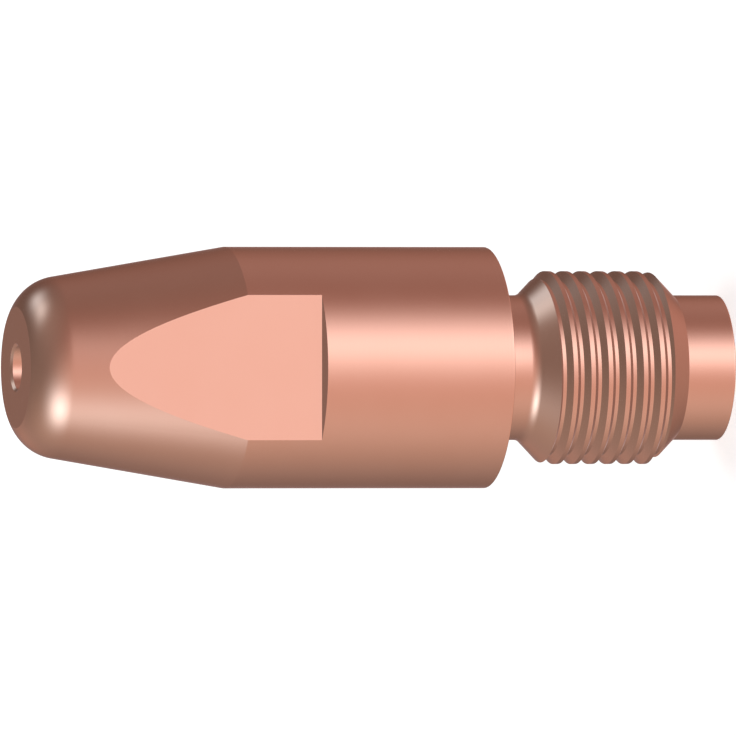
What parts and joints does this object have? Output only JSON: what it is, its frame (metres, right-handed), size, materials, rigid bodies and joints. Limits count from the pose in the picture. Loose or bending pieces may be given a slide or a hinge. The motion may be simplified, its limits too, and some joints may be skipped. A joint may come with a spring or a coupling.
{
  "type": "welding contact tip",
  "caption": "Copper contact tip for a gas-shielded welding torch: threaded shank with pilot, round body with two wrench flats, tapered nose and a through bore for the wire.",
  "frame": {"origin": "centre of the rear face, on the axis of the bore", "axes": "+Z along the bore towards the nose; the two wrench flats face +Y and -Y"},
  "size_m": [0.01, 0.01, 0.03],
  "materials": {
    "copper": "turned and polished copper alloy"
  },
  "bodies": {
    "root": {"contact_tip": "copper"}
  },
  "joints": []
}
